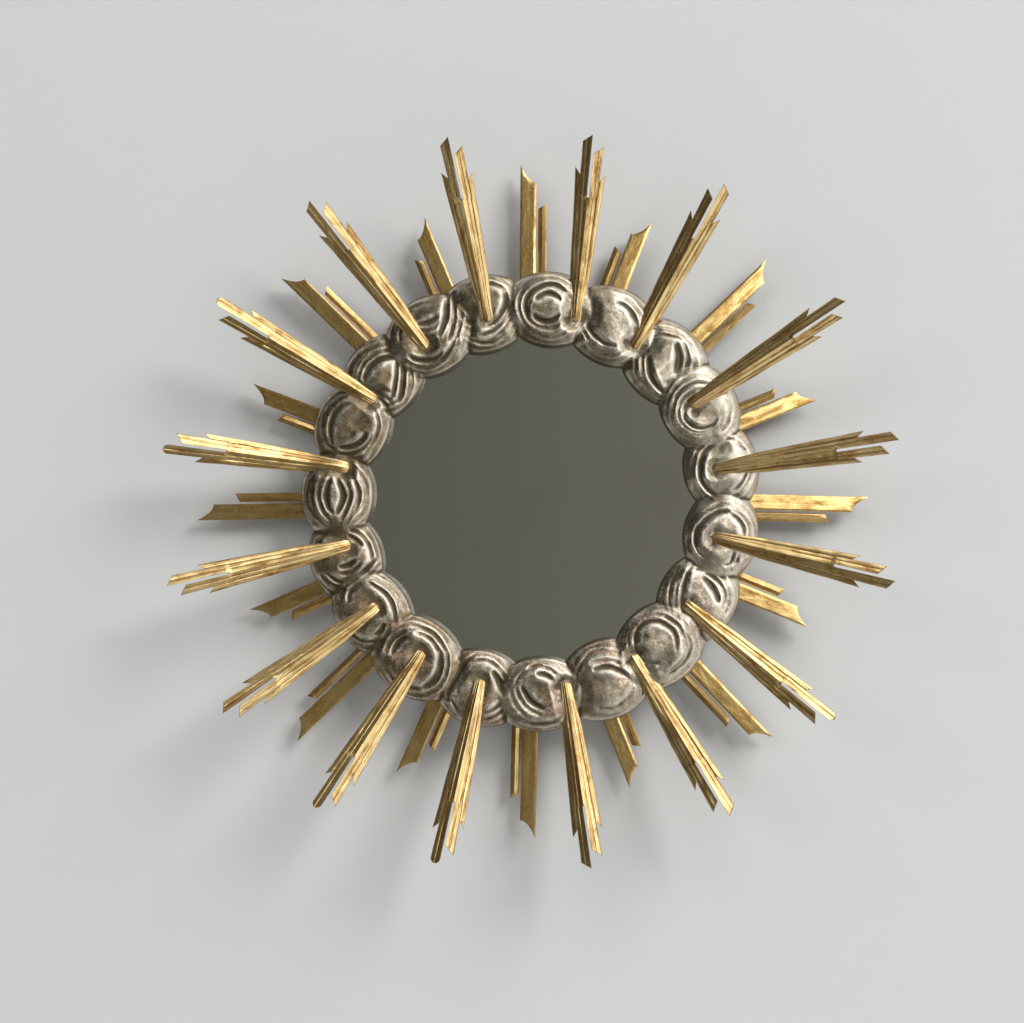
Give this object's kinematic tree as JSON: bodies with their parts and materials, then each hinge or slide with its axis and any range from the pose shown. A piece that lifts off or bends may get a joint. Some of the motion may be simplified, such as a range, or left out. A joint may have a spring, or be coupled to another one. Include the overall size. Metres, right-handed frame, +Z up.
{
  "type": "sunburst wall mirror",
  "caption": "Round wall mirror in a carved, silver-leafed ring of clouds with gilded forked rays in front and pairs of flat gilded rays behind; hangs on a keyhole plate.",
  "frame": {"origin": "centre of the mirror in the plane of the wall, where the backing ring's back face stands", "axes": "+Z up, +X to the right seen from the front, +Y into the wall; the front looks along -Y"},
  "size_m": [0.9041, 0.1214, 0.9014],
  "materials": {
    "silver_leaf": "aged silver leaf on carved wood",
    "gold_leaf": "worn gold leaf on carved wood",
    "mirror_glass": "silvered plate glass",
    "panel_wood": "plain plywood",
    "backing_wood": "oiled softwood",
    "steel": "zinc plated",
    "brass": "dull brass"
  },
  "bodies": {
    "frame": {"cloud_ring": "silver_leaf", "mirror_glass": "mirror_glass", "back_panel": "panel_wood", "backing_ring": "backing_wood", "backing_screws": "steel", "keyhole_plate": "steel", "keyhole_screws": "steel", "turn_button_screws": "brass", "ray_bundle_01": "gold_leaf", "ray_bundle_02": "gold_leaf", "ray_bundle_03": "gold_leaf", "ray_bundle_04": "gold_leaf", "ray_bundle_05": "gold_leaf", "ray_bundle_06": "gold_leaf", "ray_bundle_07": "gold_leaf", "ray_bundle_08": "gold_leaf", "ray_bundle_09": "gold_leaf", "ray_bundle_10": "gold_leaf", "ray_bundle_11": "gold_leaf", "ray_bundle_12": "gold_leaf", "ray_bundle_13": "gold_leaf", "ray_bundle_14": "gold_leaf", "ray_bundle_15": "gold_leaf", "ray_bundle_16": "gold_leaf", "wide_ray_01": "gold_leaf", "wide_ray_02": "gold_leaf", "wide_ray_03": "gold_leaf", "wide_ray_04": "gold_leaf", "wide_ray_05": "gold_leaf", "wide_ray_06": "gold_leaf", "wide_ray_07": "gold_leaf", "wide_ray_08": "gold_leaf", "wide_ray_09": "gold_leaf", "wide_ray_10": "gold_leaf", "wide_ray_11": "gold_leaf", "wide_ray_12": "gold_leaf", "wide_ray_13": "gold_leaf", "wide_ray_14": "gold_leaf", "wide_ray_15": "gold_leaf", "wide_ray_16": "gold_leaf", "narrow_ray_01": "gold_leaf", "narrow_ray_02": "gold_leaf", "narrow_ray_03": "gold_leaf", "narrow_ray_04": "gold_leaf", "narrow_ray_05": "gold_leaf", "narrow_ray_06": "gold_leaf", "narrow_ray_07": "gold_leaf", "narrow_ray_08": "gold_leaf", "narrow_ray_09": "gold_leaf", "narrow_ray_10": "gold_leaf", "narrow_ray_11": "gold_leaf", "narrow_ray_12": "gold_leaf", "narrow_ray_13": "gold_leaf", "narrow_ray_14": "gold_leaf", "narrow_ray_15": "gold_leaf", "narrow_ray_16": "gold_leaf"},
    "turn_button_1": {"turn_button_1": "brass"},
    "turn_button_2": {"turn_button_2": "brass"},
    "turn_button_3": {"turn_button_3": "brass"},
    "turn_button_4": {"turn_button_4": "brass"}
  },
  "joints": [
    {"name": "turn_button_1_turn", "type": "hinge", "parent": "frame", "child": "turn_button_1", "pos_m": [0.16405, -0.0182, 0.16405], "axis": [0, 1, 0], "range_deg": [-95, 95]},
    {"name": "turn_button_2_turn", "type": "hinge", "parent": "frame", "child": "turn_button_2", "pos_m": [0.16405, -0.0182, -0.16405], "axis": [0, 1, 0], "range_deg": [-95, 95]},
    {"name": "turn_button_3_turn", "type": "hinge", "parent": "frame", "child": "turn_button_3", "pos_m": [-0.16405, -0.0182, -0.16405], "axis": [0, 1, 0], "range_deg": [-95, 95]},
    {"name": "turn_button_4_turn", "type": "hinge", "parent": "frame", "child": "turn_button_4", "pos_m": [-0.16405, -0.0182, 0.16405], "axis": [0, 1, 0], "range_deg": [-95, 95]}
  ]
}
